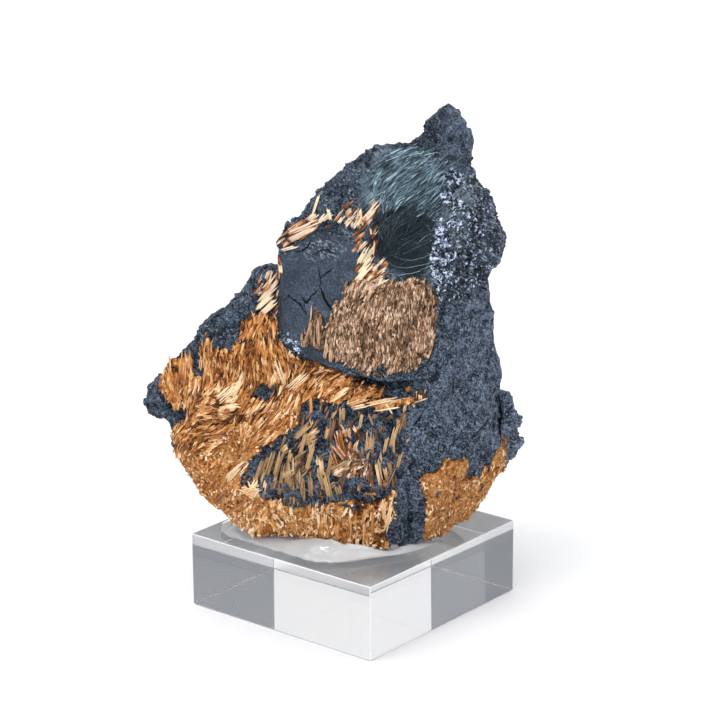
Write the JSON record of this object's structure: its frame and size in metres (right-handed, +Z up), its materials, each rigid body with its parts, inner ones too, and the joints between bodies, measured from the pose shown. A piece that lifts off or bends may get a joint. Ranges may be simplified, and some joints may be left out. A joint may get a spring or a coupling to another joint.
{
  "type": "rutile on hematite specimen",
  "caption": "Upright broken plate of hematite overgrown with rutile needles, glued on a clear square display block.",
  "frame": {"origin": "middle of the display block's underside", "axes": "+Z up; X and Y along the block's edges; the specimen's best face looks over the corner between +X and -Y, towards (0.64, -0.77, 0)"},
  "size_m": [0.0489, 0.0453, 0.0826],
  "materials": {
    "hematite": "dark blue-grey, finely broken, half metallic",
    "rutile_orange": "orange-brown fibres, silky",
    "rutile_brown": "brown parallel fibres, silky",
    "rutile_cream": "cream to gold blades, glossy",
    "clear_glue": "clear gel, glossy",
    "clear_acrylic": "polished clear acrylic"
  },
  "bodies": {
    "root": {"hematite": "hematite", "rutile_mass": "rutile_orange", "rutile_cluster": "rutile_orange", "rutile_face_mat": "rutile_brown", "rutile_upper_vein": "rutile_cream", "rutile_corner_vein": "rutile_cream", "rutile_side_vein": "rutile_cream", "rutile_right_crust": "rutile_orange", "rutile_back_crust": "rutile_orange", "adhesive": "clear_glue", "acrylic_base": "clear_acrylic"}
  },
  "joints": []
}
